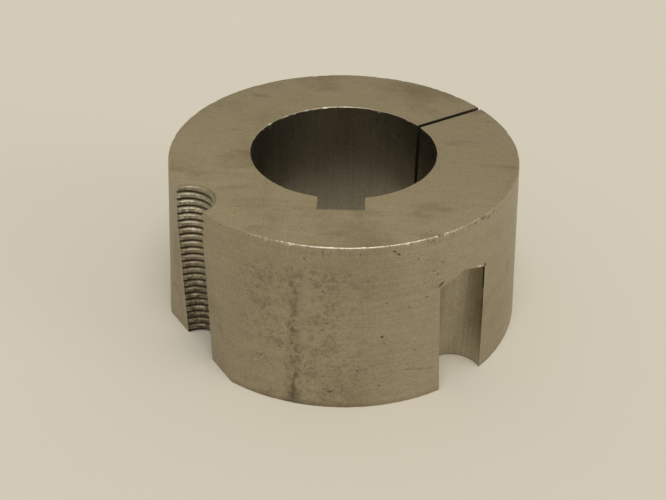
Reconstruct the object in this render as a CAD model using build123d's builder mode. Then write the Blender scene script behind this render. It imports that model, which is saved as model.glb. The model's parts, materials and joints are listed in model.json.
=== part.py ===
"""Split taper bush for a keyed shaft.

The bush stands on its large end. The origin is the centre of the large end face, +Z runs along the
bore to the small end, and the keyway lies on -Y. Bearings are counted counter-clockwise from the
keyway, seen from the small end. Lengths are in millimetres and angles in degrees.
"""
import math
import os

from build123d import *

# Turned body
bush_length = 50.8  # end face to end face
large_end_diameter = 107.9
taper_angle = 8.0  # included angle of the outside
bore_diameter = 53.975
rim_break = 0.3  # chamfer on the rim of each end
mouth_break = 0.4  # chamfer on each mouth of the bore

# Keyway, along the whole bore
key_width = 12.7
key_depth = 6.35  # height of its side walls

# Saw cut that lets the bush close on the shaft
split_bearing = 124.0
split_width = 1.4

# The half-holes share one circle, and the hub has their other halves
screw_circle_diameter = 101.6

# Plain blind half-holes, open at the large end, for the tips of the set screws
set_bearing = 40.4  # of the first, and the others are evenly spaced
set_count = 2
set_diameter = 16.6
set_depth = 34.3  # of the full diameter
set_point_angle = 140.0  # left by the drill

# Threaded half-hole, from end to end, for the screw that forces the bush out
jack_bearing = -54.1
jack_diameter = 15.875
jack_pitch = 25.4 / 11
jack_start = 137.0  # where its helix starts, a turn below the large end, from the outward side
jack_countersink = 16.2  # diameter of the 90 degree countersink at each end
jack_flat = 50.5  # bore axis to the flat that the thread is cut in

KEY_DIRECTION = -90.0  # the keyway lies on -Y
PAST = 5.0  # how far a cutting profile reaches into free air

# Worked out from the sizes above
large_radius = large_end_diameter / 2
small_radius = large_radius - bush_length * math.tan(math.radians(taper_angle / 2))
bore_radius = bore_diameter / 2
key_floor = math.sqrt(bore_radius**2 - (key_width / 2) ** 2) + key_depth
screw_circle_radius = screw_circle_diameter / 2
set_point = set_diameter / 2 / math.tan(math.radians(set_point_angle / 2))

# A 60 degree thread of the unified form: its root is an eighth of the pitch wide, and the crest left
# in the wall a quarter. Its groove opens a little inside the drilled hole.
thread_height = 0.54127 * jack_pitch
thread_root = jack_pitch / 8
groove_lead = thread_height / 10
thread_mouth = thread_root + 2 * (thread_height + groove_lead) * math.tan(math.radians(30))
drill_radius = jack_diameter / 2 - thread_height
countersink_radius = jack_countersink / 2
countersink_depth = countersink_radius - drill_radius


def facing(bearing):
    """Plane of the large end whose X axis points outwards at this bearing."""
    return Plane.XY.rotated((0, 0, KEY_DIRECTION + bearing))


def screw_section(bearing):
    """Upright plane through a half-hole: X runs outwards from its axis and Y runs up it."""
    outwards = facing(bearing)
    axis_foot = outwards.from_local_coords((screw_circle_radius, 0, 0))
    return Plane(origin=axis_foot, x_dir=outwards.x_dir, z_dir=-outwards.y_dir)


with BuildPart() as taper_bush:
    # Section of one wall, turned about the bore
    with BuildSketch(Plane.XZ):
        with BuildLine():
            Polyline(
                (bore_radius, 0),
                (large_radius, 0),
                (small_radius, bush_length),
                (bore_radius, bush_length),
                close=True,
            )
        make_face()
    revolve(axis=Axis.Z)
    circles = taper_bush.edges().filter_by(GeomType.CIRCLE).sort_by(SortBy.RADIUS)
    chamfer(circles[:2], mouth_break)
    circles = taper_bush.edges().filter_by(GeomType.CIRCLE).sort_by(SortBy.RADIUS)
    chamfer((circles[-1], circles.filter_by(lambda e: e.center().Z == bush_length)[-1]), rim_break)

    # Keyway
    with BuildSketch(facing(0)):
        with Locations((key_floor / 2, 0)):
            Rectangle(key_floor, key_width)
    extrude(amount=bush_length, mode=Mode.SUBTRACT)

    # Saw cut
    with BuildSketch(facing(split_bearing)):
        with Locations(((large_radius + PAST) / 2, 0)):
            Rectangle(large_radius + PAST, split_width)
    extrude(amount=bush_length, mode=Mode.SUBTRACT)

    # Half-holes for the set screws: the section of the drilled space, turned about each screw's axis
    for index in range(set_count):
        set_section = screw_section(set_bearing + 360 / set_count * index)
        with BuildSketch(set_section):
            with BuildLine():
                Polyline(
                    (0, 0),
                    (set_diameter / 2, 0),
                    (set_diameter / 2, set_depth),
                    (0, set_depth + set_point),
                    close=True,
                )
            make_face()
        revolve(axis=Axis(set_section.origin, (0, 0, 1)), mode=Mode.SUBTRACT)

    # Flat beside the threaded half-hole
    with BuildSketch(facing(jack_bearing)):
        with Locations((jack_flat + large_radius / 2, 0)):
            Rectangle(large_radius, large_end_diameter)
    extrude(amount=bush_length, mode=Mode.SUBTRACT)

    # Thread: its groove is swept a turn past each end, and the drilled hole then opens it
    jack_section = screw_section(jack_bearing)
    helix_plane = Plane(
        origin=jack_section.origin - Vector(0, 0, jack_pitch),
        x_dir=facing(jack_bearing + jack_start).x_dir,
        z_dir=(0, 0, 1),
    )
    with BuildLine(helix_plane) as helix:
        Helix(pitch=jack_pitch, height=bush_length + 2 * jack_pitch, radius=drill_radius)
    with BuildSketch(Plane(origin=helix.line @ 0, x_dir=helix_plane.x_dir, z_dir=helix.line % 0)):
        with BuildLine():
            Polyline(
                (-groove_lead, -thread_mouth / 2),
                (thread_height, -thread_root / 2),
                (thread_height, thread_root / 2),
                (-groove_lead, thread_mouth / 2),
                close=True,
            )
        make_face()
    sweep(path=helix.line, is_frenet=True, mode=Mode.SUBTRACT)
    with BuildSketch(jack_section):
        with BuildLine():
            Polyline(
                (0, 0),
                (countersink_radius, 0),
                (drill_radius, countersink_depth),
                (drill_radius, bush_length - countersink_depth),
                (countersink_radius, bush_length),
                (0, bush_length),
                close=True,
            )
        make_face()
    revolve(axis=Axis(jack_section.origin, (0, 0, 1)), mode=Mode.SUBTRACT)

taper_bush.part.label = "taper_bush"

os.makedirs("parts", exist_ok=True)
export_step(taper_bush.part, "parts/taper_bush.step")
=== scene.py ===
"""Looks of the split taper bush: one worn iron piece on a pale floor."""
import json
import math

import bmesh
import bpy
from bpy.props import FloatProperty, FloatVectorProperty, IntProperty, PointerProperty
from mathutils import Matrix, Vector, noise


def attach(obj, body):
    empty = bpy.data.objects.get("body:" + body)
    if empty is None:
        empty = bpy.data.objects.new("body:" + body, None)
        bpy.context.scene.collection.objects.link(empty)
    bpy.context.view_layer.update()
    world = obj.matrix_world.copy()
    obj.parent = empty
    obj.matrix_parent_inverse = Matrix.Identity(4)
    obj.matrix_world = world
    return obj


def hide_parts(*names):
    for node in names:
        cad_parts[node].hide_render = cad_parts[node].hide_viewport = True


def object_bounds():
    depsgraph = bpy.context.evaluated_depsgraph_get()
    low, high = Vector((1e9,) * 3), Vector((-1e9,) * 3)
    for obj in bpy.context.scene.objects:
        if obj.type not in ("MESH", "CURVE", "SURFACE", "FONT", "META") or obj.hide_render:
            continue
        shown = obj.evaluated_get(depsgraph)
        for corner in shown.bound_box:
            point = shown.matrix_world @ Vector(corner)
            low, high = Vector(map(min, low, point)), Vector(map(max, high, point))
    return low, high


bl_info = {
    "name": "Taper bush looks",
    "version": (1, 0, 0),
    "blender": (4, 5, 0),
    "location": "View3D > Sidebar > Taper bush",
    "description": "Models the worn surface of a split taper bush and sets its stage",
    "category": "Object",
}

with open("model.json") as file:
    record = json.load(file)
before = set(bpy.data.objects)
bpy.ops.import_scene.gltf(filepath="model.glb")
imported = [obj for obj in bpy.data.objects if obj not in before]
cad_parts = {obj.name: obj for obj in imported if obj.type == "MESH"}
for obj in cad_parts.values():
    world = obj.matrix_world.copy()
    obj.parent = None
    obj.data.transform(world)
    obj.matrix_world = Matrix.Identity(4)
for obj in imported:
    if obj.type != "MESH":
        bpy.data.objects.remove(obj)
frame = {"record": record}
CAD_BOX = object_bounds()
MM = 0.001
NODE = "taper_bush"
MOUNTS = {mount["name"]: mount for mount in frame["record"]["mounts"]}
HALF_TAPER = math.radians(4)  # the lean of the tapered wall


def mount_radius(name):
    """Radius of a mount of the frame, in metres."""
    return MOUNTS[name]["dims"]["r_mm"] * MM


# Sizes that the frame gives
LENGTH = CAD_BOX[1].z
BORE_RADIUS = mount_radius("bore")
SEAT_RADIUS = mount_radius("taper_seat")
LARGE_RADIUS = SEAT_RADIUS + LENGTH / 2 * math.tan(HALF_TAPER)
SMALL_RADIUS = SEAT_RADIUS - LENGTH / 2 * math.tan(HALF_TAPER)
SET_HOLES = ("set_screw_half_hole_right", "set_screw_half_hole_back")
JACK_HOLE = "jacking_half_thread"
JACK_FOOT = Vector(MOUNTS[JACK_HOLE]["pos_m"])
JACK_DRILL = mount_radius(JACK_HOLE)
JACK_DIRECTION = math.atan2(JACK_FOOT.y, JACK_FOOT.x)


# --- what a user may change ---


class BushSizes(bpy.types.PropertyGroup):
    """Sizes that are not in the frame, and the wear"""

    key_width: FloatProperty(name="Keyway width", description="Between the side walls of the keyway",
                             default=12.7 * MM, unit="LENGTH", precision=4)
    key_depth: FloatProperty(name="Keyway depth", description="Height of the keyway's side walls",
                             default=6.35 * MM, unit="LENGTH", precision=4)
    split_width: FloatProperty(name="Split width", description="Width of the saw cut",
                               default=1.4 * MM, unit="LENGTH", precision=4)
    split_direction: FloatProperty(name="Split direction", description="Direction of the saw cut from +X",
                                   default=math.radians(34), subtype="ANGLE")
    drill_point: FloatProperty(name="Drill point", description="Included angle at the set screw holes' ends",
                               default=math.radians(140), subtype="ANGLE")
    jack_flat: FloatProperty(name="Flat", description="From the bore's axis to the flat beside the thread",
                             default=50.5 * MM, unit="LENGTH", precision=4)
    thread_pitch: FloatProperty(name="Thread pitch", description="Pitch of the jacking thread",
                                default=25.4 / 11 * MM, unit="LENGTH", precision=4)
    thread_start: FloatProperty(name="Thread start", description="Direction where a turn of the helix starts",
                                default=math.radians(29), subtype="ANGLE")
    thread_wear: FloatProperty(name="Thread wear", description="Height lost by the worn crests of the thread",
                               default=0.28 * MM, unit="LENGTH", precision=5)
    countersink: FloatProperty(name="Countersink", description="Diameter of the shallow countersinks",
                               default=16.1 * MM, unit="LENGTH", precision=4)
    countersink_depth: FloatProperty(name="Countersink depth", description="Depth of the countersinks",
                                     default=0.35 * MM, unit="LENGTH", precision=5)
    rim_break: FloatProperty(name="Rim break", description="Width of the rubbed rims of the taper",
                             default=0.3 * MM, unit="LENGTH", precision=5)
    mouth_break: FloatProperty(name="Mouth break", description="Width of the broken edges of the bore",
                               default=0.4 * MM, unit="LENGTH", precision=5)
    key_break: FloatProperty(name="Keyway break", description="Width of the broken edges of the keyway",
                             default=0.2 * MM, unit="LENGTH", precision=5)
    hole_break: FloatProperty(name="Hole break", description="Width of the set screw holes' broken edges",
                              default=0.3 * MM, unit="LENGTH", precision=5)
    round_steps: IntProperty(name="Steps", description="Faces around the turned body", default=720, min=90)


class BushFinish(bpy.types.PropertyGroup):
    """Colours of the iron"""

    iron: FloatVectorProperty(name="Iron", description="Colour of the bare dull iron of the sides",
                              subtype="COLOR", default=(0.331, 0.279, 0.18))
    ends: FloatVectorProperty(name="Ground ends", description="Colour of the ground end faces",
                              subtype="COLOR", default=(0.258, 0.212, 0.124))
    holes: FloatVectorProperty(name="Set screw holes", description="Colour of the drilled half-holes",
                               subtype="COLOR", default=(0.415, 0.368, 0.266))
    bore: FloatVectorProperty(name="Bore", description="Colour of the dark smooth bore", subtype="COLOR",
                              default=(0.34, 0.318, 0.262))
    stain: FloatVectorProperty(name="Stain", description="Colour of the brown stains", subtype="COLOR",
                               default=(0.135, 0.098, 0.045))
    pit: FloatVectorProperty(name="Pits", description="Colour inside the small pits", subtype="COLOR",
                             default=(0.045, 0.033, 0.016))
    # The rubbed colour also serves for painted highlights on the rims, the bore's mouth and the thread's
    # crests
    rubbed: FloatVectorProperty(name="Rubbed edge", description="Colour of rubbed edges", subtype="COLOR",
                                default=(0.62, 0.58, 0.48))


class StageLook(bpy.types.PropertyGroup):
    """What is around the bush"""

    floor: FloatVectorProperty(name="Floor", description="Colour of the floor", subtype="COLOR",
                               default=(0.558, 0.51, 0.411))
    backdrop: FloatVectorProperty(name="Backdrop", description="Colour seen behind the floor",
                                  subtype="COLOR", default=(0.651, 0.595, 0.48))
    lens: FloatProperty(name="Lens", description="Focal length of the camera", default=53.26, unit="CAMERA")


# --- modelling helpers ---

PAST = 2 * MM  # how far a cutter reaches past the end faces
HOLE_STEPS = 160  # around a drilled hole
OUTLINE_STEP = 0.8 * MM  # between the points of a flared cutter
SHARP_ANGLE = math.radians(33)  # edges that bend by more than this stay sharp


def new_piece(name, bm, material=None):
    """A bmesh becomes an object at the origin."""
    mesh = bpy.data.meshes.new(name)
    bm.to_mesh(mesh)
    bm.free()
    if material is not None:
        mesh.materials.append(material)
    piece = bpy.data.objects.new(name, mesh)
    bpy.context.scene.collection.objects.link(piece)
    return piece


def add_chain(bm, points, close=False):
    """A chain of edges through points; returns its vertices and edges."""
    verts = [bm.verts.new(point) for point in points]
    pairs = list(zip(verts, verts[1:]))
    if close:
        pairs.append((verts[-1], verts[0]))
    return verts + [bm.edges.new(pair) for pair in pairs]


def turn(bm, points, centre, steps, close=False):
    """Spins (radius, height) points a full turn about an upright axis, and merges those that are on it."""
    chain = add_chain(bm, [(centre[0] + r, centre[1], z) for r, z in points], close)
    bmesh.ops.spin(bm, geom=chain, cent=(centre[0], centre[1], 0), axis=(0, 0, 1), dvec=(0, 0, 0),
                   angle=2 * math.pi, steps=steps, use_merge=True)
    bmesh.ops.remove_doubles(bm, verts=bm.verts[:], dist=1e-7)
    bmesh.ops.recalc_face_normals(bm, faces=bm.faces[:])


def close_ends(bm):
    """Each open rim gets a face; returns the new faces."""
    return bmesh.ops.edgeloop_fill(bm, edges=[edge for edge in bm.edges if edge.is_boundary])["faces"]


def turned_cutter(name, points, centre, material, steps=HOLE_STEPS):
    """A round cutter with the given (radius, height) section."""
    bm = bmesh.new()
    turn(bm, points, centre, steps)
    return new_piece(name, bm, material)


def jitter(place, size):
    """A number from 0 to 1 that changes smoothly over about the given size."""
    return min(1.0, max(0.0, noise.noise(place / size) * 0.8 + 0.5))


def divided(outline, step):
    """The outline with a point about every step."""
    points = []
    for start, end in zip(outline, outline[1:] + outline[:1]):
        start, end = Vector(start), Vector(end)
        parts = max(1, round((end - start).length / step))
        points += [start.lerp(end, k / parts)[:] for k in range(parts)]
    return points


def flared_cutter(name, outline, direction, flare, material):
    """An upright cutter whose outline opens at both end faces; the outline runs anticlockwise."""
    outline = divided(outline, OUTLINE_STEP)
    count = len(outline)
    corners = [Vector(point) for point in outline]
    outwards = []
    for i, corner in enumerate(corners):
        before = (corner - corners[i - 1]).normalized()
        after = (corners[(i + 1) % count] - corner).normalized()
        normal = Vector((before.y + after.y, -before.x - after.x))
        outwards.append(normal.normalized() / max(0.5, normal.length / 2))
    lip = 0.1 * MM  # the flare grows this far past each end face
    wide = flare + lip
    levels = [(-PAST, wide), (-lip, wide), (flare, 0), (3 * flare, 0),
              (LENGTH - 3 * flare, 0), (LENGTH - flare, 0), (LENGTH + lip, wide), (LENGTH + PAST, wide)]
    bm = bmesh.new()
    chain = add_chain(bm, [(x, y, -PAST) for x, y in outline], close=True)
    ring, edges = chain[:count], chain[count:]
    for level, (height, spread) in enumerate(levels):
        if level:
            made = bmesh.ops.extrude_edge_only(bm, edges=edges)["geom"]
            edges = [part for part in made if isinstance(part, bmesh.types.BMEdge)]
            fresh = {part for part in made if isinstance(part, bmesh.types.BMVert)}
            ring = [next(edge.other_vert(vert) for edge in vert.link_edges
                         if edge.other_vert(vert) in fresh) for vert in ring]
        for vert, corner, outward in zip(ring, corners, outwards):
            place = Vector((corner.x, corner.y, height))
            wear = (jitter(place + Vector((0, 0, 1)), 2.5 * MM) - 0.35) * flare * 1.2 if spread else 0
            vert.co = (*(corner + outward * (spread + wear)), height)
    close_ends(bm)
    bmesh.ops.recalc_face_normals(bm, faces=bm.faces[:])
    bmesh.ops.rotate(bm, verts=bm.verts[:], cent=(0, 0, 0), matrix=Matrix.Rotation(direction, 3, "Z"))
    return new_piece(name, bm, material)


def cut(piece, cutters):
    """Takes the cutters out of the piece, with their finish on the cut faces, and deletes them."""
    for cutter in cutters:
        modifier = piece.modifiers.new(cutter.name, "BOOLEAN")
        modifier.operation = "DIFFERENCE"
        modifier.solver = "EXACT"
        modifier.material_mode = "TRANSFER"
        modifier.object = cutter
    depsgraph = bpy.context.evaluated_depsgraph_get()
    result = bpy.data.meshes.new_from_object(piece.evaluated_get(depsgraph))
    piece.modifiers.clear()
    old = piece.data
    piece.data = result
    bpy.data.meshes.remove(old)
    for cutter in cutters:
        bpy.data.objects.remove(cutter)
    if not result.polygons:
        raise RuntimeError(f"{piece.name} is empty after its cuts")


# --- the bush ---


def rounded(corner, before, after, size, supports):
    """Points round a corner: four on the arc, and support points on both sides of it."""
    corner, before, after = Vector(corner), Vector(before).normalized(), Vector(after).normalized()
    start, end = corner + before * size, corner + after * size
    arc = [(1 - t) ** 2 * start + 2 * t * (1 - t) * corner + t * t * end for t in (0, 1 / 3, 2 / 3, 1)]
    return (
        [corner + before * (size + support) for support in reversed(supports)]
        + arc
        + [corner + after * (size + support) for support in supports]
    )


def bush_section(sizes):
    """(radius, height) points around the section of the wall, anticlockwise from the bore's lower mouth."""
    rim, mouth = sizes.rim_break, sizes.mouth_break
    support = (0.35 * MM, 1.0 * MM)  # points this far past each corner keep the shading of the walls flat
    slope = math.tan(HALF_TAPER)
    return (
        rounded((BORE_RADIUS, 0), (0, 1), (1, 0), mouth, support)
        + rounded((LARGE_RADIUS, 0), (-1, 0), (-slope, 1), rim, support)
        + rounded((SMALL_RADIUS, LENGTH), (slope, -1), (-1, 0), rim, support)
        + rounded((BORE_RADIUS, LENGTH), (1, 0), (0, -1), mouth, support)
    )


def wear_rims(bm, sizes):
    """Dents the rims as knocks do, the outer ones deeper."""
    outer, inner = 0.16 * MM, 0.1 * MM  # how deep the knocks are
    rims = [(LARGE_RADIUS, 0, Vector((-1, 1)), outer, sizes.rim_break),
            (SMALL_RADIUS, LENGTH, Vector((-1, -1)), outer, sizes.rim_break),
            (BORE_RADIUS, 0, Vector((1, 1)), inner, sizes.mouth_break),
            (BORE_RADIUS, LENGTH, Vector((1, -1)), inner, sizes.mouth_break)]
    for vert in bm.verts:
        radius = math.hypot(vert.co.x, vert.co.y)
        for rim_radius, height, inward, depth, size in rims:
            if math.hypot(radius - rim_radius, vert.co.z - height) > size * 1.05:
                continue
            place = vert.co.copy()
            dent = depth * max(0, jitter(place, 3 * MM) + 0.6 * jitter(place, 0.9 * MM) - 0.75)
            outward = Vector((vert.co.x, vert.co.y, 0)).normalized()
            vert.co += (outward * inward.x + Vector((0, 0, inward.y))) * dent


def key_cutter(sizes, material):
    """The broached keyway: small round corners at its floor, broken edges where it opens into the bore."""
    wall = sizes.key_width / 2
    edge = math.sqrt(BORE_RADIUS**2 - wall**2)
    floor = edge + sizes.key_depth
    opening, inside = sizes.key_break, 3 * MM  # the broken edges run on for this far into the bore
    corner = 0.35 * MM
    bend = corner * 0.3
    outline = [(floor - corner, -wall), (floor - bend, bend - wall), (floor, corner - wall),
               (floor, wall - corner), (floor - bend, wall - bend), (floor - corner, wall),
               (edge + opening, wall), (edge - inside, wall + opening + inside),
               (edge - inside, -wall - opening - inside), (edge + opening, -wall)]
    return flared_cutter("key_cutter", outline, -math.pi / 2, opening, material)


def split_cutter(sizes, material):
    """The saw cut, from inside the bore to past the large end, with hardly broken edges."""
    side, start, end = sizes.split_width / 2, BORE_RADIUS - 6 * MM, LARGE_RADIUS + 5 * MM
    outline = [(start, -side), (end, -side), (end, side), (start, side)]
    return flared_cutter("split_cutter", outline, sizes.split_direction, 0.08 * MM, material)


def flat_cutter(sizes, material):
    """The milled flat that the thread is cut in."""
    bm = bmesh.new()
    bmesh.ops.create_cube(bm, size=1.0)
    low = Vector((sizes.jack_flat, -LARGE_RADIUS, -5 * MM))
    high = Vector((2 * LARGE_RADIUS, LARGE_RADIUS, 2 * LENGTH))
    bmesh.ops.scale(bm, verts=bm.verts[:], vec=high - low)
    bmesh.ops.translate(bm, verts=bm.verts[:], vec=(low + high) / 2)
    bmesh.ops.rotate(bm, verts=bm.verts[:], cent=(0, 0, 0), matrix=Matrix.Rotation(JACK_DIRECTION, 3, "Z"))
    return new_piece("flat_cutter", bm, material)


def set_cutter(name, sizes, material):
    """A blind drilled hole for a set screw: broken at its mouth, with the drill's point at its end."""
    mount = MOUNTS[name]
    radius, depth = mount_radius(name), mount["dims"]["length_mm"] * MM
    rise = 1 / math.tan(sizes.drill_point / 2)
    mouth, shoulder = sizes.hole_break, 0.5 * MM
    section = [(0, -PAST), (radius + mouth + PAST, -PAST), (radius, mouth), (radius, 3 * mouth),
               (radius, depth - 0.3 * MM), (radius - 0.1 * MM, depth),
               (radius - shoulder, depth + shoulder * rise), (0, depth + radius * rise)]
    return turned_cutter(name, section, mount["pos_m"], material)


def countersink_cutter(sizes, material):
    """A spool: wide at both ends of the thread and slimmer than its drill between them."""
    wide, fall = sizes.countersink / 2, sizes.countersink_depth
    core = JACK_DRILL * 0.9
    section = [(0, -PAST), (wide, -PAST), (wide, 0), (core, fall), (core, LENGTH - fall),
               (wide, LENGTH), (wide, LENGTH + PAST), (0, LENGTH + PAST)]
    return turned_cutter("countersink_cutter", section, JACK_FOOT, material)


def relief_cutter(sizes, material):
    """A wider round tool set further out takes the burrs off both long edges of the thread."""
    flat = sizes.jack_flat - JACK_FOOT.length
    half_mouth, radius = 7.55 * MM, 9.5 * MM
    out = flat + math.sqrt(radius**2 - half_mouth**2)
    centre = JACK_FOOT * (1 + out / JACK_FOOT.length)
    section = [(0, -PAST), (radius, -PAST), (radius, LENGTH + PAST), (0, LENGTH + PAST)]
    return turned_cutter("relief_cutter", section, centre, material, steps=240)


def tap_cutter(sizes, material):
    """A screw as the tap leaves it: one turn of the thread's outline, repeated up a helix."""
    pitch = sizes.thread_pitch
    # The 60 degree form: 0.54127 of a pitch deep, with a crest of a quarter and a root of an eighth of it
    root, top = JACK_DRILL + 0.54127 * pitch, 7 / 16 * pitch
    crest, foot = JACK_DRILL + sizes.thread_wear, pitch / 8 + sizes.thread_wear * math.tan(math.radians(30))
    soft = 0.1 * MM  # size of the softened corners
    half = [(crest, 0), (crest, foot - 2 * soft), (crest + soft * 0.25, foot - soft * 0.4),
            (crest + soft * 0.9, foot + soft * 0.5), (root - soft * 0.9, top - soft * 0.5),
            (root - soft * 0.2, top + soft * 0.4), (root, top + soft)]
    outline = half + [(radius, pitch - height) for radius, height in reversed(half)]
    bm = bmesh.new()
    start = -2.5 * pitch
    chain = add_chain(bm, [(radius, 0, start + height) for radius, height in outline])
    steps = 96
    bmesh.ops.spin(bm, geom=chain, cent=(0, 0, 0), axis=(0, 0, 1), dvec=(0, 0, pitch / steps),
                   angle=2 * math.pi, steps=steps, use_merge=False)
    one_turn = bm.verts[:] + bm.edges[:] + bm.faces[:]
    for number in range(1, math.ceil(LENGTH / pitch) + 4):
        copy = bmesh.ops.duplicate(bm, geom=one_turn)["geom"]
        bmesh.ops.translate(bm, verts=[part for part in copy if isinstance(part, bmesh.types.BMVert)],
                            vec=(0, 0, number * pitch))
    bmesh.ops.remove_doubles(bm, verts=bm.verts[:], dist=0.004 * MM)
    bmesh.ops.poke(bm, faces=close_ends(bm))
    bmesh.ops.recalc_face_normals(bm, faces=bm.faces[:])
    turned = Matrix.Rotation(sizes.thread_start, 3, "Z")
    bmesh.ops.rotate(bm, verts=bm.verts[:], cent=(0, 0, 0), matrix=turned)
    bmesh.ops.translate(bm, verts=bm.verts[:], vec=JACK_FOOT)
    return new_piece("tap_cutter", bm, material)


def make_body(sizes, finishes):
    """The turned body with a finish on each surface, and everything that was cut into it."""
    bm = bmesh.new()
    turn(bm, bush_section(sizes), (0, 0), sizes.round_steps, close=True)
    wear_rims(bm, sizes)
    piece = new_piece("worn_taper_bush", bm)
    order = ["ground_end", "turned_side", "smooth_bore", "rim_wear_and_highlight", "bore_mouth"]
    for name in order:
        piece.data.materials.append(finishes[name])
    middle = (BORE_RADIUS + SMALL_RADIUS) / 2
    for face in piece.data.polygons:
        level = abs(face.normal.z)
        outside = math.hypot(face.center.x, face.center.y) > middle
        if level > 0.97:
            name = "ground_end"
        elif level < 0.2:
            name = "turned_side" if outside else "smooth_bore"
        else:
            name = "rim_wear_and_highlight" if outside else "bore_mouth"
        face.material_index = order.index(name)
    thread = finishes["tapped_thread"]
    cut(piece, [
        key_cutter(sizes, finishes["broached_keyway"]),
        split_cutter(sizes, finishes["sawn_split"]),
        flat_cutter(sizes, finishes["milled_flat"]),
        *(set_cutter(name, sizes, finishes["drilled_hole"]) for name in SET_HOLES),
        countersink_cutter(sizes, thread),
        relief_cutter(sizes, thread),
        tap_cutter(sizes, thread),
    ])
    piece.data.shade_smooth()
    piece.data.set_sharp_from_angle(angle=SHARP_ANGLE)
    return piece


# --- materials ---


class Nodes:
    """Short calls that add and join shader nodes."""

    def __init__(self, name):
        self.material = bpy.data.materials.new(name)
        self.material.use_nodes = True
        self.tree = self.material.node_tree
        self.shader = self.tree.nodes["Principled BSDF"]
        self.place = self.add("ShaderNodeTexCoord").outputs["Object"]

    def add(self, kind, **values):
        """A new node with the given settings."""
        node = self.tree.nodes.new(kind)
        for key, value in values.items():
            setattr(node, key, value)
        return node

    def put(self, value, socket):
        """A number or colour is set on the socket, anything else is joined to it."""
        if hasattr(value, "links"):
            self.tree.links.new(value, socket)
        else:
            socket.default_value = value

    def math(self, operation, a, b=0.0, clamp=False):
        node = self.add("ShaderNodeMath", operation=operation, use_clamp=clamp)
        self.put(a, node.inputs[0])
        self.put(b, node.inputs[1])
        return node.outputs[0]

    def product(self, first, *others):
        """All the values multiplied, from left to right."""
        for other in others:
            first = self.math("MULTIPLY", first, other)
        return first

    def scaled(self, value, factor, offset):
        """The value times a factor, plus an offset."""
        result = self.math("MULTIPLY_ADD", value, factor)
        result.node.inputs[2].default_value = offset
        return result

    def parts(self, vector):
        """The X, Y and Z of a vector."""
        node = self.add("ShaderNodeSeparateXYZ")
        self.put(vector, node.inputs[0])
        return node.outputs[0], node.outputs[1], node.outputs[2]

    def mapped(self, scale=(1, 1, 1), turn=0.0, move=(0, 0, 0)):
        """Object coordinates turned about Z by an angle, then scaled and moved."""
        turned = self.add("ShaderNodeMapping", vector_type="POINT")
        self.put(self.place, turned.inputs["Vector"])
        turned.inputs["Rotation"].default_value = (0, 0, turn)
        node = self.add("ShaderNodeMapping", vector_type="POINT")
        self.put(turned.outputs["Vector"], node.inputs["Vector"])
        node.inputs["Scale"].default_value = scale
        node.inputs["Location"].default_value = move
        return node.outputs["Vector"]

    def around(self, foot=Vector((0, 0, 0))):
        """Distance from the upright axis through a point of the large end, and the height above that end."""
        x, y, z = self.parts(self.mapped(move=tuple(-foot)))
        squares = self.math("ADD", self.math("MULTIPLY", x, x), self.math("MULTIPLY", y, y))
        return self.math("SQRT", squares), z

    def noise(self, vector, scale, detail, roughness):
        node = self.add("ShaderNodeTexNoise")
        self.put(vector, node.inputs["Vector"])
        node.inputs["Scale"].default_value = scale
        node.inputs["Detail"].default_value = detail
        node.inputs["Roughness"].default_value = roughness
        return node.outputs["Fac"]

    def warped(self, scale, amount):
        """Object coordinates pushed about by a noise."""
        wobble = self.add("ShaderNodeTexNoise")
        self.put(self.place, wobble.inputs["Vector"])
        wobble.inputs["Scale"].default_value = scale
        push = self.add("ShaderNodeVectorMath", operation="MULTIPLY_ADD")
        self.put(wobble.outputs["Color"], push.inputs[0])
        push.inputs[1].default_value = (amount, amount, amount)
        self.put(self.mapped(), push.inputs[2])
        return push.outputs[0]

    def specks(self, vector, scale, size, share):
        """Small round spots in a share of the cells, of different sizes."""
        cells = self.add("ShaderNodeTexVoronoi", feature="F1")
        self.put(vector, cells.inputs["Vector"])
        cells.inputs["Scale"].default_value = scale
        chance, growth, _ = self.parts(cells.outputs["Color"])
        reach = self.scaled(growth, size * 0.7, size * 0.3)
        spot = self.ramp(self.math("SUBTRACT", reach, cells.outputs["Distance"]), -0.03, 0.05)
        return self.product(spot, self.math("LESS_THAN", chance, share))

    def ramp(self, value, low, high, to_low=0.0, to_high=1.0):
        """A soft step from one result to another while the value goes from low to high."""
        node = self.add("ShaderNodeMapRange", interpolation_type="SMOOTHSTEP")
        self.put(value, node.inputs["Value"])
        node.inputs["From Min"].default_value = low
        node.inputs["From Max"].default_value = high
        node.inputs["To Min"].default_value = to_low
        node.inputs["To Max"].default_value = to_high
        return node.outputs["Result"]

    def mix(self, share, a, b, blend="MIX"):
        """Colour a with a share of colour b over it."""
        node = self.add("ShaderNodeMix", data_type="RGBA", blend_type=blend)
        self.put(share, node.inputs[0])
        self.put(a, node.inputs[6])
        self.put(b, node.inputs[7])
        return node.outputs[2]

    def bump(self, height, distance):
        """Roughens the surface by a height map."""
        node = self.add("ShaderNodeBump")
        node.inputs["Distance"].default_value = distance
        self.put(height, node.inputs["Height"])
        self.put(node.outputs["Normal"], self.shader.inputs["Normal"])


def rgba(colour):
    """The colour with full alpha, as sockets want it."""
    return (*colour, 1.0)


def shade(colour, share):
    """The colour made darker or lighter."""
    return [share * value for value in colour]


GRINDING = math.radians(4)  # how far the grinding marks on the ends are turned from X


def straight_marks(n):
    """Fine straight lines from side to side, as a surface grinder leaves."""
    wide = n.noise(n.mapped((45, 900, 1), turn=GRINDING), 1.0, 3, 0.6)
    fine = n.noise(n.mapped((90, 2600, 1), turn=GRINDING), 1.0, 2, 0.6)
    return n.math("ADD", n.product(wide, 0.6), n.product(fine, 0.4))


def ring_marks(n):
    """Fine rings around the axis, as a lathe leaves."""
    return n.noise(n.mapped((12, 12, 2400)), 1.0, 3, 0.6)


def upright_marks(n):
    """Fine upright lines, as a broach or a ground bore has."""
    return n.noise(n.mapped((1500, 1500, 14)), 1.0, 3, 0.6)


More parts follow.
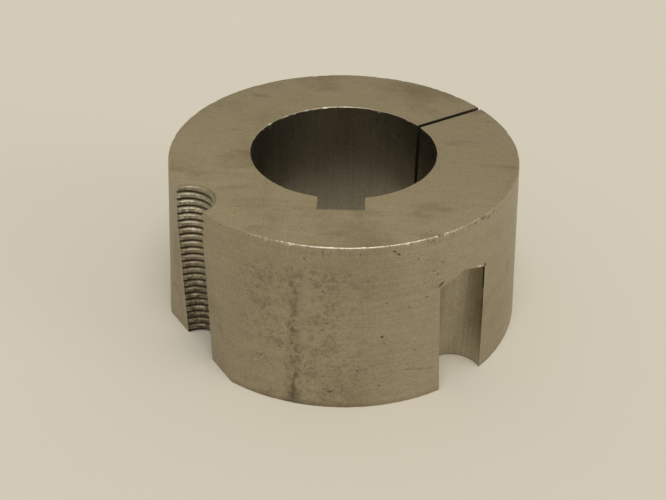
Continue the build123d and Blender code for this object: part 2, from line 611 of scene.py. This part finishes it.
def worn_iron(name, finish, marks, base, roughness=0.46, mottle=0.35, pits=0.12, strength=0.03, metal=0.6,
              patchy=0.12):
    """Dull bare iron with the tool marks of one kind of surface; returns its nodes and colour."""
    n = Nodes(name)
    plain = n.mapped()
    cloud = n.noise(plain, 32, 4, 0.62)
    blotch = n.noise(n.mapped((70, 150, 110), turn=GRINDING), 1.0, 4, 0.6)
    grit = n.noise(plain, 1500, 2, 0.65)
    lines = marks(n)
    colour = n.mix(n.ramp(cloud, 0.45, 0.72, 0.0, mottle), rgba(base), rgba(finish.stain))
    colour = n.mix(n.ramp(blotch, 0.52, 0.78, 0.0, mottle), colour, rgba(finish.stain))
    colour = n.mix(1.0, colour, n.ramp(grit, 0.3, 0.7, 0.9, 1.1), blend="MULTIPLY")
    colour = n.mix(1.0, colour, n.ramp(lines, 0.35, 0.65, 0.95, 1.05), blend="MULTIPLY")
    spots = n.specks(n.warped(900, 0.0008), 850, 0.3, pits)
    colour = n.mix(n.product(spots, 0.55), colour, rgba(finish.pit))
    height = n.math("ADD", n.product(grit, 0.4), lines)
    height = n.math("SUBTRACT", height, n.product(spots, 1.5))
    n.shader.inputs["Metallic"].default_value = metal
    n.put(n.ramp(cloud, 0.3, 0.75, roughness, roughness + patchy), n.shader.inputs["Roughness"])
    n.bump(height, strength * MM)
    return n, colour


def finished(n, colour):
    """The material, once its colour is complete."""
    n.put(colour, n.shader.inputs["Base Color"])
    return n.material


def streak_mask(n, direction, width, low, high):
    """A soft upright band between two heights, and its coordinates: outwards at a direction, aside and up."""
    u, v, z = n.parts(n.mapped(turn=-math.radians(direction)))
    band = n.product(n.ramp(n.math("ABSOLUTE", v), 0.0, width, 1.0, 0.0), n.math("GREATER_THAN", u, 0.0))
    rise = n.product(n.ramp(z, low, low + 4 * MM), n.ramp(z, high - 6 * MM, high, 1.0, 0.0))
    return n.product(band, rise), u, v, z


def facing(n, direction, full, none):
    """One within an angle of a direction from +X, falling to zero at a wider angle, all in degrees."""
    u, v, _ = n.parts(n.mapped(turn=-math.radians(direction)))
    angle = n.math("ABSOLUTE", n.math("ARCTAN2", v, u))
    return n.ramp(angle, math.radians(full), math.radians(none), 1.0, 0.0)


def mark(n, direction, radius, height, length, width, tilt=0.0):
    """A small oval mark on a wall, at a direction, radius and height; tilt is from level."""
    place = n.add("ShaderNodeMapping", vector_type="TEXTURE")
    n.put(n.place, place.inputs["Vector"])
    angle = math.radians(direction)
    place.inputs["Location"].default_value = (radius * math.cos(angle), radius * math.sin(angle), height)
    place.inputs["Rotation"].default_value = (0, -math.radians(tilt), angle + math.pi / 2)
    place.inputs["Scale"].default_value = (length / 2, length / 2, width / 2)
    size = n.add("ShaderNodeVectorMath", operation="LENGTH")
    n.put(place.outputs["Vector"], size.inputs[0])
    return n.ramp(size.outputs["Value"], 0.5, 1.1, 1.0, 0.0)


def side_radius(height):
    """Radius of the tapered wall at a height."""
    return LARGE_RADIUS - height * math.tan(HALF_TAPER)


# Dark marks on the taper: direction from +X in degrees, height, length and width in mm, tilt in degrees
# and strength
SIDE_MARKS = [
    (-73.9, 48.9, 1.2, 0.7, -20, 0.8),
    (-72.6, 47.9, 1.4, 0.7, -30, 0.8),
    (-66.5, 45.5, 0.8, 0.7, 60, 0.6),
    (-77.0, 23.1, 1.1, 0.9, 10, 0.85),
    (-76.3, 20.8, 0.8, 0.6, 0, 0.6),
    (-56.5, 18.6, 1.1, 0.8, 0, 0.6),
    (-61.2, 40.5, 1.0, 0.8, 0, 0.5),
    (-68.9, 10.9, 3.6, 0.7, -4, 0.3),
    (-65.3, 10.0, 4.6, 0.7, -12, 0.3),
    (-61.6, 9.2, 2.4, 0.7, -6, 0.25),
    (-58.6, 35.6, 2.6, 0.7, 38, 0.95),
    (-92.0, 5.5, 1.6, 1.1, 0, 0.5),
    (-84.0, 12.5, 0.9, 0.8, 0, 0.6),
    (-113.0, 14.0, 1.0, 0.7, 0, 0.6),
    (-58.3, 42.4, 1.0, 0.9, 0, 0.5),
    (-63.4, 33.1, 1.3, 0.8, 0, 0.4),
    (-64.2, 37.6, 1.4, 0.6, 0, 0.35),
    (-36.7, 50.0, 1.6, 1.1, 0, 0.4),
    (-39.6, 49.4, 1.6, 1.5, 10, 0.4),
    (-42.3, 50.1, 2.6, 1.3, 0, 0.5),
    (-45.8, 50.1, 1.9, 1.1, 0, 0.45),
    (-48.6, 50.3, 1.4, 0.8, 0, 0.4),
    (-55.0, 49.9, 1.5, 0.9, 0, 0.35),
    (-62.0, 49.7, 1.3, 0.9, 0, 0.35),
    (-40.2, 34.8, 1.0, 1.3, 30, 0.85),
    (-103.6, 39.0, 1.9, 2.6, 0, 0.3),
    (-103.3, 29.2, 1.5, 1.8, 0, 0.3),
    (-102.9, 24.6, 1.9, 1.6, 0, 0.45),
    (-102.0, 18.3, 1.5, 2.0, 0, 0.3),
    (-101.9, 9.9, 1.8, 2.2, 0, 0.5),
]

# Bright nicks in the bore's upper edge: direction from +X in degrees, height, length and width in mm
MOUTH_NICKS = [
    (147, 49.4, 1.1, 1.6),
    (-8.5, 49.2, 1.2, 2.4),
]


def ground_end(finish):
    """The end faces: ground and stained, with painted light that makes them a little lighter towards the
    front left.
    """
    n, colour = worn_iron("ground_end", finish, straight_marks, finish.ends, mottle=0.6, pits=0.03)
    # Painted light: the ends grow lighter towards the front left
    along, *_ = n.parts(n.mapped(turn=math.radians(108)))
    colour = n.mix(1.0, colour, n.ramp(along, -20 * MM, 45 * MM, 0.95, 1.13), blend="MULTIPLY")
    return finished(n, colour)


def turned_side(finish):
    """The taper: small pits, denser low on the front, and a run of dark spots down to a stain at the foot."""
    n, colour = worn_iron("turned_side", finish, ring_marks, finish.iron, mottle=0.2, pits=0.05)
    wobbly = n.warped(900, 0.0007)
    front, *_ = streak_mask(n, -100, 29 * MM, -6 * MM, 47 * MM)
    dense = n.ramp(front, 0.0, 0.95, 0.1, 1.0)
    patch = n.product(dense, n.ramp(n.noise(n.mapped(), 75, 3, 0.6), 0.34, 0.58))
    fine = n.math("MAXIMUM", n.specks(wobbly, 1700, 0.4, 0.4), n.specks(wobbly, 850, 0.3, 0.16))
    colour = n.mix(n.product(patch, fine, 0.3), colour, rgba(finish.pit))
    flecks = n.ramp(n.noise(n.mapped(), 900, 4, 0.8), 0.49, 0.66)
    colour = n.mix(n.product(patch, flecks, 0.72), colour, rgba(finish.stain))
    grain = n.ramp(n.noise(n.mapped(move=(3, 1, 2)), 330, 4, 0.75), 0.48, 0.66)
    colour = n.mix(n.product(dense, grain, 0.4), colour, rgba(finish.stain))
    run, u, v, z = streak_mask(n, -102.8, 3.0 * MM, 1 * MM, 43 * MM)
    beads = n.ramp(n.noise(n.mapped((520, 520, 380)), 1.0, 4, 0.75), 0.42, 0.64)
    colour = n.mix(n.product(run, n.ramp(beads, 0.0, 1.0, 0.12, 0.66)), colour, rgba(finish.stain))
    half_width = n.scaled(z, -0.45, 3.0 * MM)  # of the stain, which narrows upwards
    stain = n.ramp(n.math("SUBTRACT", half_width, n.math("ABSOLUTE", v)), -1.4 * MM, 2.0 * MM)
    stain = n.product(stain, n.math("GREATER_THAN", u, 0.0), n.ramp(beads, 0.0, 1.0, 0.4, 0.65))
    colour = n.mix(stain, colour, rgba(finish.pit))
    scuffs = n.ramp(n.noise(n.mapped((1300, 1300, 160)), 1.0, 3, 0.7), 0.55, 0.7)
    under_rim = n.product(n.ramp(z, LENGTH - 4.5 * MM, LENGTH - 1 * MM), facing(n, -82, 22, 45))
    colour = n.mix(n.product(scuffs, under_rim, 0.5), colour, rgba(finish.stain))
    lowest = n.product(n.ramp(z, 0.0, 2.5 * MM, 0.5, 0.0), n.ramp(patch, 0.0, 0.5, 0.3, 1.0))
    colour = n.mix(lowest, colour, rgba(finish.stain))
    for direction, height, length, width, tilt, strength in SIDE_MARKS:
        spot = mark(n, direction, side_radius(height * MM), height * MM, length * MM, width * MM, tilt)
        colour = n.mix(n.product(spot, strength), colour, rgba(finish.pit))
    # The knocked lip over the right half-hole
    lip = mark(n, -43.0, side_radius(35.5 * MM), 35.5 * MM, 2.8 * MM, 0.9 * MM, -18)
    colour = n.mix(n.product(lip, 0.6), colour, rgba(finish.rubbed))
    return finished(n, colour)


def rim_wear_and_highlight(finish):
    """Outer rims: knocked, with a broken painted highlight at the front, dark grime towards the right, dull
    elsewhere.
    """
    n, colour = worn_iron("rim_wear_and_highlight", finish, ring_marks, finish.iron, roughness=0.32, pits=0.1)
    # Painted highlight: the worn colour only where the rims face the front, broken by noise
    front = facing(n, -84, 10, 38)
    broken = n.noise(n.mapped(), 760, 3, 0.75)
    bright = n.ramp(n.math("ADD", broken, n.product(front, 0.18)), 0.52, 0.68)
    colour = n.mix(n.product(bright, n.ramp(front, 0.0, 0.35, 0.15, 1.0)), colour, rgba(finish.rubbed))
    right = facing(n, -52, 8, 26)
    dirt_and_shade = n.ramp(n.noise(n.mapped(move=(1, 2, 3)), 420, 3, 0.75), 0.5, 0.6)
    colour = n.mix(n.product(right, dirt_and_shade, 0.85), colour, rgba(finish.stain))
    return finished(n, colour)


def smooth_bore(finish):
    """The dark bore, with a bright nick under its mouth at the back left and at the right."""
    n, colour = worn_iron("smooth_bore", finish, upright_marks, finish.bore, roughness=0.27, mottle=0.05,
                          pits=0.0, strength=0.004, metal=1.0, patchy=0.03)
    for direction, height, length, width in MOUTH_NICKS:
        nick = mark(n, direction, BORE_RADIUS, height * MM, length * MM, width * MM)
        colour = n.mix(nick, colour, rgba(shade(finish.rubbed, 1.3)))
    return finished(n, colour)


def bore_mouth(finish):
    """Edges of the bore: dull, with bright burrs and a painted highlight at the back."""
    n, colour = worn_iron("bore_mouth", finish, ring_marks, finish.iron, roughness=0.4, pits=0.1)
    # Painted highlight: the burrs show bright only at the back, where the mouth faces the front
    back = facing(n, 100, 10, 26)
    burrs = n.ramp(n.noise(n.mapped(), 480, 3, 0.65), 0.45, 0.6)
    colour = n.mix(n.product(burrs, back), colour, rgba(finish.rubbed))
    for direction, *_ in MOUTH_NICKS:
        spot = mark(n, direction, BORE_RADIUS, LENGTH, 1.4 * MM, 1.4 * MM)
        colour = n.mix(spot, colour, rgba(finish.rubbed))
    return finished(n, colour)


def tapped_thread(finish):
    """Worn crests with a painted highlight that grows towards the small end, painted shade in the roots, and
    grime on the lower turns.
    """
    base = shade(finish.iron, 0.84)
    n, colour = worn_iron("tapped_thread", finish, ring_marks, base, roughness=0.42, mottle=0.3, pits=0.2)
    radius, z = n.around(JACK_FOOT)
    # Painted highlight: the worn colour on the crests, stronger towards the small end
    crest = n.ramp(radius, JACK_DRILL + 0.35 * MM, JACK_DRILL + 0.8 * MM, 1.0, 0.0)
    upper = n.product(n.ramp(z, 34 * MM, 43 * MM, 0.12, 0.7), n.ramp(z, 48.6 * MM, 49.8 * MM, 1.0, 0.3))
    flecks = n.ramp(n.noise(n.mapped(), 900, 3, 0.75), 0.46, 0.62, 0.1, 1.0)
    colour = n.mix(n.product(upper, flecks, crest), colour, rgba(finish.rubbed))
    # Painted glints: brighter specks on the upper crests
    painted_glints = n.product(n.specks(n.mapped(), 700, 0.42, 0.35), n.ramp(z, 34 * MM, 41 * MM))
    colour = n.mix(n.product(painted_glints, crest), colour, rgba(shade(finish.rubbed, 1.35)))
    lower = n.ramp(z, 8 * MM, 31 * MM, 0.72, 0.14)
    caked = n.product(lower, n.ramp(n.noise(n.mapped(), 560, 4, 0.85), 0.42, 0.58, 0.3, 1.5))
    caked = n.math("MULTIPLY", caked, 1.15, clamp=True)
    colour = n.mix(caked, colour, rgba(shade(finish.pit, 1.7)))
    # Painted shade in the roots of the thread, weaker at the countersink
    root = n.ramp(radius, JACK_DRILL + 0.55 * MM, JACK_DRILL + 1.15 * MM)
    dirt_and_shade = n.product(root, 0.85, n.ramp(z, 50.0 * MM, 50.4 * MM, 0.9, 0.15))
    colour = n.mix(dirt_and_shade, colour, rgba(finish.pit))
    return finished(n, colour)


def drilled_hole(finish):
    """The set screw half-holes: smooth, with broken painted shade along the edge away from the front."""
    n, colour = worn_iron("drilled_hole", finish, upright_marks, finish.holes, mottle=0.2, roughness=0.34,
                          pits=0.02, metal=0.9, strength=0.015)
    radius, z = n.around()
    depth = n.math("SUBTRACT", n.scaled(z, -math.tan(HALF_TAPER), LARGE_RADIUS), radius)
    hole = Vector(MOUNTS[SET_HOLES[0]]["pos_m"])
    # Painted shade: a broken dark stripe down the hole's edge away from the front
    edge = facing(n, math.degrees(math.atan2(hole.y, hole.x)) + 9.1, 2.5, 4.5)
    broken = n.ramp(n.noise(n.mapped((500, 500, 160)), 1.0, 3, 0.7), 0.38, 0.56, 0.25, 1.0)
    painted_hole_shade = n.product(edge, broken, n.ramp(depth, 0.35 * MM, 0.8 * MM, 1.0, 0.0))
    painted_hole_shade = n.product(painted_hole_shade, n.ramp(z, 10 * MM, 20 * MM, 0.15, 1.0))
    colour = n.mix(painted_hole_shade, colour, rgba(finish.pit))
    # Painted shade in the corner at its upper end, under the roof of the hole
    corner = mark(n, -40.8, side_radius(33.7 * MM) - 0.3 * MM, 33.7 * MM, 1.8 * MM, 1.6 * MM)
    colour = n.mix(corner, colour, rgba(finish.pit))
    return finished(n, colour)


def make_finishes(finish):
    """One material for each kind of surface."""
    # dark is painted shade: near black iron for the walls of the narrow saw cut
    dark, plain = shade(finish.iron, 0.14), shade(finish.iron, 0.94)
    brown = [share * value for share, value in zip((0.97, 0.91, 0.76), finish.iron)]
    return {
        "ground_end": ground_end(finish),
        "turned_side": turned_side(finish),
        "smooth_bore": smooth_bore(finish),
        "rim_wear_and_highlight": rim_wear_and_highlight(finish),
        "bore_mouth": bore_mouth(finish),
        "broached_keyway": finished(*worn_iron("broached_keyway", finish, upright_marks, brown, pits=0.03)),
        "sawn_split": finished(*worn_iron("sawn_split", finish, ring_marks, dark, pits=0.1)),
        "milled_flat": finished(*worn_iron("milled_flat", finish, upright_marks, plain, pits=0.05)),
        "drilled_hole": drilled_hole(finish),
        "tapped_thread": tapped_thread(finish),
    }


# --- the stage ---


def floor_material(stage):
    """A dull pale surface, very slightly uneven in tone."""
    n = Nodes("pale_floor")
    uneven = n.ramp(n.noise(n.mapped(), 3, 2, 0.5), 0.3, 0.7, 0.0, 0.06)
    n.shader.inputs["Roughness"].default_value = 0.9
    n.shader.inputs["Specular IOR Level"].default_value = 0.1
    return finished(n, n.mix(uneven, rgba(stage.floor), rgba(shade(stage.floor, 0.8))))


def make_floor(stage):
    """A floor that reaches 4 m to each side, past what the camera sees."""
    bm = bmesh.new()
    bmesh.ops.create_grid(bm, x_segments=8, y_segments=8, size=4.0)
    new_piece("floor", bm, floor_material(stage))


def add_lamp(name, place, spread, strength):
    """A soft far lamp, seen from the bush in the direction of a place and as wide as an angle in degrees."""
    light = bpy.data.lights.new(name, type="SUN")
    light.angle = math.radians(spread)
    light.energy = strength
    lamp = bpy.data.objects.new(name, light)
    bpy.context.scene.collection.objects.link(lamp)
    lamp.location = place
    aim = Vector((0, 0, LENGTH / 2)) - Vector(place)
    lamp.rotation_euler = aim.to_track_quat("-Z", "Y").to_euler()


def add_camera(stage):
    """Stands in front of the keyway and looks down on the small end."""
    lens = bpy.data.cameras.new("camera")
    lens.lens = stage.lens
    lens.sensor_width = 36.0
    camera = bpy.data.objects.new("camera", lens)
    away, height = 250.99 * MM, 190.04 * MM
    aside, look_down, look_left, roll = (math.radians(angle) for angle in (1.0, 34.88, 0.647, 0.556))
    place = Matrix.Rotation(aside, 4, "Z") @ Vector((0, -away, height))
    camera.matrix_world = (
        Matrix.Translation(place)
        @ Matrix.Rotation(aside + look_left, 4, "Z")
        @ Matrix.Rotation(math.pi / 2 - look_down, 4, "X")
        @ Matrix.Rotation(roll, 4, "Z")
    )
    bpy.context.scene.collection.objects.link(camera)
    bpy.context.scene.camera = camera


def set_world(stage):
    """White light all round; where it is looked at, or mirrored, it has the backdrop's colour."""
    world = bpy.data.worlds.new("studio")
    bpy.context.scene.world = world
    world.use_nodes = True
    nodes, links = world.node_tree.nodes, world.node_tree.links
    light = nodes["Background"]
    light.inputs["Color"].default_value = (1.0, 1.0, 1.0, 1.0)
    light.inputs["Strength"].default_value = 0.6
    seen = nodes.new("ShaderNodeBackground")
    seen.inputs["Color"].default_value = rgba(stage.backdrop)
    path, either = nodes.new("ShaderNodeLightPath"), nodes.new("ShaderNodeMixShader")
    looked_at = path.outputs["Is Camera Ray"]
    for ray in ("Is Glossy Ray", "Is Transmission Ray"):
        joined = nodes.new("ShaderNodeMath")
        joined.operation = "MAXIMUM"
        links.new(looked_at, joined.inputs[0])
        links.new(path.outputs[ray], joined.inputs[1])
        looked_at = joined.outputs[0]
    links.new(looked_at, either.inputs[0])
    links.new(light.outputs[0], either.inputs[1])
    links.new(seen.outputs[0], either.inputs[2])
    links.new(either.outputs[0], nodes["World Output"].inputs["Surface"])


# --- operators, panel and run ---


class OBJECT_OT_worn_taper_bush(bpy.types.Operator):
    """Model the bush with its worn rims and iron finish"""

    bl_idname = "object.worn_taper_bush"
    bl_label = "Worn taper bush"

    def execute(self, context):
        piece = make_body(context.scene.bush_sizes, make_finishes(context.scene.bush_finish))
        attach(piece, "root")
        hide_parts(NODE)
        return {"FINISHED"}


class OBJECT_OT_bush_stage(bpy.types.Operator):
    """Add the floor, the lamps and the camera"""

    bl_idname = "object.bush_stage"
    bl_label = "Bush stage"

    def execute(self, context):
        stage = context.scene.bush_stage
        make_floor(stage)
        set_world(stage)
        add_lamp("ceiling", place=(0.06, -0.26, 0.85), spread=38, strength=1.75)
        add_lamp("side", place=(1.6, -0.62, 0.55), spread=30, strength=0.53)
        add_camera(stage)
        context.scene.view_settings.view_transform = "Standard"
        return {"FINISHED"}


class VIEW3D_PT_taper_bush(bpy.types.Panel):
    """Lists what makes the bush and its stage"""

    bl_label = "Taper bush"
    bl_space_type = "VIEW_3D"
    bl_region_type = "UI"
    bl_category = "Taper bush"

    def draw(self, context):
        for operator in OPERATORS:
            self.layout.operator(operator.bl_idname)
        for group in ("bush_sizes", "bush_finish", "bush_stage"):
            settings = getattr(context.scene, group)
            box = self.layout.box()
            for name in settings.__annotations__:
                box.prop(settings, name)


OPERATORS = (OBJECT_OT_worn_taper_bush, OBJECT_OT_bush_stage)
CLASSES = (BushSizes, BushFinish, StageLook, *OPERATORS, VIEW3D_PT_taper_bush)


def register():
    for cls in CLASSES:
        bpy.utils.register_class(cls)
    bpy.types.Scene.bush_sizes = PointerProperty(type=BushSizes)
    bpy.types.Scene.bush_finish = PointerProperty(type=BushFinish)
    bpy.types.Scene.bush_stage = PointerProperty(type=StageLook)


def unregister():
    del bpy.types.Scene.bush_sizes
    del bpy.types.Scene.bush_finish
    del bpy.types.Scene.bush_stage
    for cls in reversed(CLASSES):
        bpy.utils.unregister_class(cls)


def main():
    register()
    bpy.ops.object.worn_taper_bush()
    bpy.ops.object.bush_stage()


if __name__ == "__main__":
    main()
